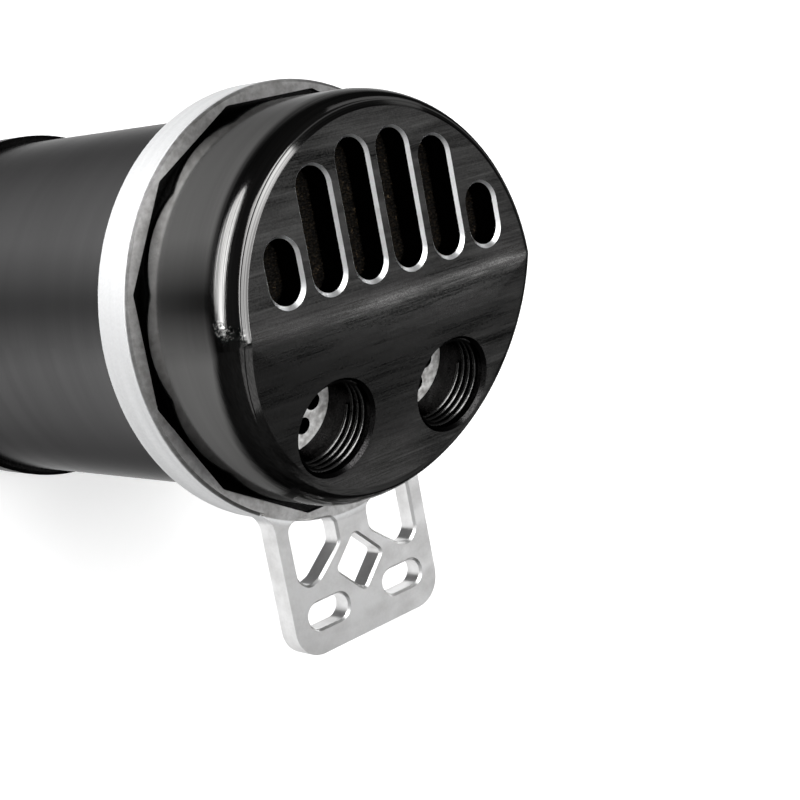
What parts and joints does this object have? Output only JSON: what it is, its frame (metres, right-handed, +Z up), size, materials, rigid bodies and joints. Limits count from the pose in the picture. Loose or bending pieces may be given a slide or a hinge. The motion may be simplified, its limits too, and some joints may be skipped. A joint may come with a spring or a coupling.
{
  "type": "vented oil catch can with bracket",
  "caption": "Round vented oil catch can: sloped lid with slotted breather and threaded ports, clocking bracket with a slotted foot, tube and base with a drain plug.",
  "frame": {"origin": "centre of the drain opening in the base, on the can's axis, in the plane that the can stands on", "axes": "+Z up along the can's axis to the lid, -Y towards the bracket's foot and the ports, +Y towards the breather slots, +X across"},
  "size_m": [0.1048, 0.1357, 0.1567],
  "materials": {
    "black_anodised": "black anodised",
    "bare_aluminium": "machined",
    "stainless": "brushed",
    "foam": "open-cell foam",
    "seal_rubber": "matt",
    "copper_seal": "dull copper"
  },
  "bodies": {
    "can": {"can_tube": "black_anodised", "base_cap": "black_anodised", "base_seal": "seal_rubber", "neck_ring": "black_anodised", "neck_seal": "seal_rubber", "lid_seal": "seal_rubber"},
    "bracket": {"bracket": "bare_aluminium"},
    "lid": {"lid": "black_anodised", "breather_foam": "foam", "breather_gauze": "stainless", "mesh_pad": "stainless", "retainer_plate": "stainless", "retainer_screws": "stainless", "splash_standoffs": "stainless", "splash_plate": "stainless", "splash_screws": "stainless"},
    "drain_seal": {"drain_seal": "copper_seal"},
    "drain_plug": {"drain_plug": "stainless"}
  },
  "joints": [
    {"name": "bracket_turn", "type": "hinge", "parent": "can", "child": "bracket", "pos_m": [0, 0, 0.12], "axis": [0, 0, 1], "range_deg": [0, 1170]},
    {"name": "lid_rise", "type": "slide", "parent": "bracket", "child": "lid", "axis": [0, 0, 1], "range_m": [0, 0.0065]},
    {"name": "drain_seal_drop", "type": "slide", "parent": "can", "child": "drain_seal", "axis": [0, 0, -1], "range_m": [0, 0.009]},
    {"name": "drain_plug_turn", "type": "hinge", "parent": "drain_seal", "child": "drain_plug", "pos_m": [0, 0, 0.004], "axis": [0, 0, -1], "range_deg": [0, 2160]}
  ],
  "couplings": [
    {"joint": "lid_rise", "follows": "bracket_turn", "m_per_rad": 0.00031831},
    {"joint": "drain_seal_drop", "follows": "drain_plug_turn", "m_per_rad": 0.00023873}
  ]
}
